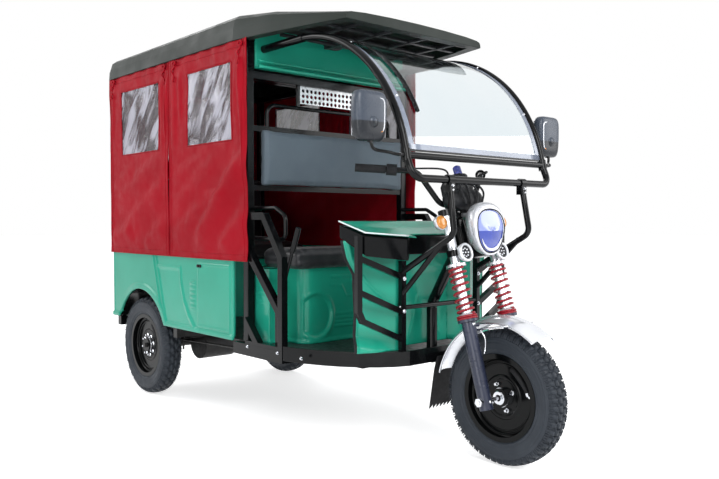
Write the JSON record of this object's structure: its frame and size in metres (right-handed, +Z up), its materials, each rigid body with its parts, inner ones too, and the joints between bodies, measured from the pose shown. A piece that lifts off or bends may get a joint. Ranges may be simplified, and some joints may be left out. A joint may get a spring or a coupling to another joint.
{
  "type": "electric passenger tricycle",
  "caption": "Covered passenger electric tricycle with a tube frame, curtained cabin, bent windscreen, raked sprung front fork and turning wheels.",
  "frame": {"origin": "middle of the bounding box, on the ground under the tyres", "axes": "+X forward, +Y to the vehicle's left, +Z up"},
  "size_m": [2.625, 1.194, 1.8423],
  "materials": {
    "green_paint": "gloss",
    "black_paint": "gloss",
    "floor_steel": "satin",
    "dark_metal": "satin",
    "chrome": "polished",
    "fork_paint": "gloss",
    "red_paint": "gloss",
    "roof_plastic": "satin",
    "shell_plastic": "satin",
    "black_vinyl": "satin",
    "grey_vinyl": "satin",
    "red_vinyl": "satin",
    "clear_vinyl": "gloss",
    "screen": "gloss",
    "lens": "gloss",
    "orange_lens": "gloss",
    "red_lens": "gloss",
    "rubber": "matte",
    "tyre": "matte",
    "rim_paint": "gloss",
    "mesh": "satin"
  },
  "bodies": {
    "chassis": {"chassis_frame": "black_paint", "floor_pan": "floor_steel", "bumper_skirt": "black_paint", "rear_axle": "dark_metal", "drive_motor": "dark_metal", "leaf_springs": "dark_metal", "side_panels": "green_paint", "tail_panel": "green_paint", "tail_lamps": "red_lens", "wheel_housings": "black_paint", "seat_box": "green_paint", "battery_pack": "shell_plastic", "driver_seat": "black_vinyl", "hand_brake": "black_paint", "passenger_bench": "green_paint", "passenger_seat": "black_vinyl", "backrest_frame": "black_paint", "backrest_pad": "grey_vinyl", "vent_grille": "mesh", "cabin_frame": "black_paint", "side_guards": "black_paint", "arm_rests": "chrome", "header_panel": "green_paint", "roof": "roof_plastic", "screen_frame": "black_paint", "screen_glass": "screen", "wiper": "rubber", "mirrors": "shell_plastic", "front_cowl": "green_paint", "hood": "green_paint", "hood_tray": "shell_plastic", "leg_guards": "black_paint", "curtains": "red_vinyl", "curtain_windows": "clear_vinyl"},
    "steering": {"steering_yoke": "black_paint", "fork_tubes": "chrome", "fork_springs": "red_paint", "fork_legs": "fork_paint", "front_axle": "chrome", "front_mudguard": "chrome", "mud_flap": "rubber", "handlebar": "black_paint", "grips": "rubber", "instrument": "shell_plastic", "headlamp": "chrome", "headlamp_lens": "lens", "turn_signals": "orange_lens", "spot_lamps": "chrome", "control_cables": "rubber"},
    "front_wheel": {"front_tyre": "tyre", "front_rim": "rim_paint"},
    "rear_wheel_right": {"rear_tyre_right": "tyre", "rear_rim_right": "rim_paint"},
    "rear_wheel_left": {"rear_tyre_left": "tyre", "rear_rim_left": "rim_paint"}
  },
  "joints": [
    {"name": "steering", "type": "hinge", "parent": "chassis", "child": "steering", "pos_m": [1.01424, 0, 0.2426], "axis": [-0.2756, 0, 0.9613], "range_deg": [-35, 35]},
    {"name": "front_wheel_spin", "type": "hinge", "parent": "steering", "child": "front_wheel", "pos_m": [1.0575, 0, 0.255], "axis": [0, 1, 0], "continuous": true},
    {"name": "rear_right_spin", "type": "hinge", "parent": "chassis", "child": "rear_wheel_right", "pos_m": [-0.9525, -0.435, 0.255], "axis": [0, 1, 0], "continuous": true},
    {"name": "rear_left_spin", "type": "hinge", "parent": "chassis", "child": "rear_wheel_left", "pos_m": [-0.9525, 0.435, 0.255], "axis": [0, 1, 0], "continuous": true}
  ]
}
